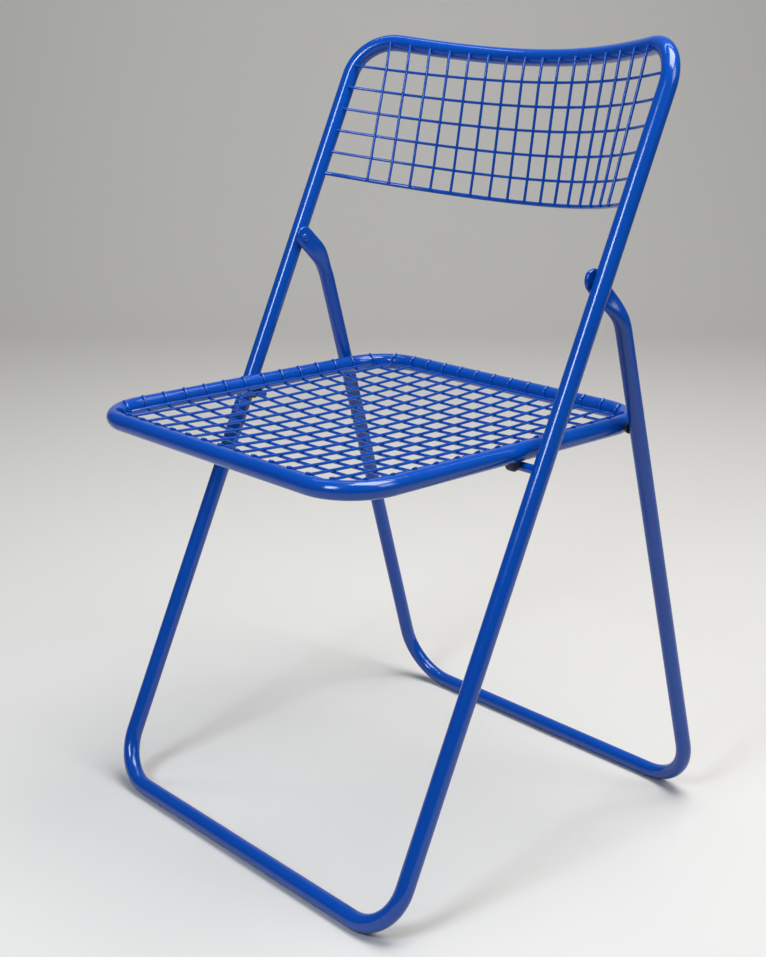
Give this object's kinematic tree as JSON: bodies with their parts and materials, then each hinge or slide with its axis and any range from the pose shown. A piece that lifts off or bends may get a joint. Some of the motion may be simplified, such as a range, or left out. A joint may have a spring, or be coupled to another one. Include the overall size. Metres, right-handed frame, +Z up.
{
  "type": "folding wire mesh chair",
  "caption": "Folding chair of bent steel tube: a tall leaning front frame, hinged rear legs, and a lift-up seat, with welded wire mesh filling seat and back.",
  "frame": {"origin": "middle of the footprint on the floor, at the centre of the overall box's bottom face", "axes": "+Z up, -Y the way a sitter faces, +X the sitter's left"},
  "size_m": [0.4578, 0.4796, 0.7872],
  "materials": {
    "blue_enamel": "gloss",
    "dark_nylon": "satin"
  },
  "bodies": {
    "front": {"front_frame": "blue_enamel", "back_mesh": "blue_enamel", "back_pivot_rivet_left": "blue_enamel", "back_pivot_rivet_right": "blue_enamel", "support_peg_left": "blue_enamel", "support_peg_right": "blue_enamel"},
    "rear": {"rear_frame": "blue_enamel", "seat_pivot_pin_left": "blue_enamel", "seat_pivot_pin_right": "blue_enamel", "seat_pivot_spacer_left": "dark_nylon", "seat_pivot_spacer_right": "dark_nylon"},
    "seat": {"seat_frame": "blue_enamel", "seat_mesh": "blue_enamel", "seat_hook_left": "dark_nylon", "seat_hook_right": "dark_nylon"}
  },
  "joints": [
    {"name": "rear_fold", "type": "hinge", "parent": "front", "child": "rear", "pos_m": [0, 0.05149, 0.57316], "axis": [-1, 0, 0], "range_deg": [0, 40]},
    {"name": "seat_lift", "type": "hinge", "parent": "rear", "child": "seat", "pos_m": [0, 0.11666, 0.426], "axis": [-1, 0, 0], "range_deg": [0, 64]}
  ]
}
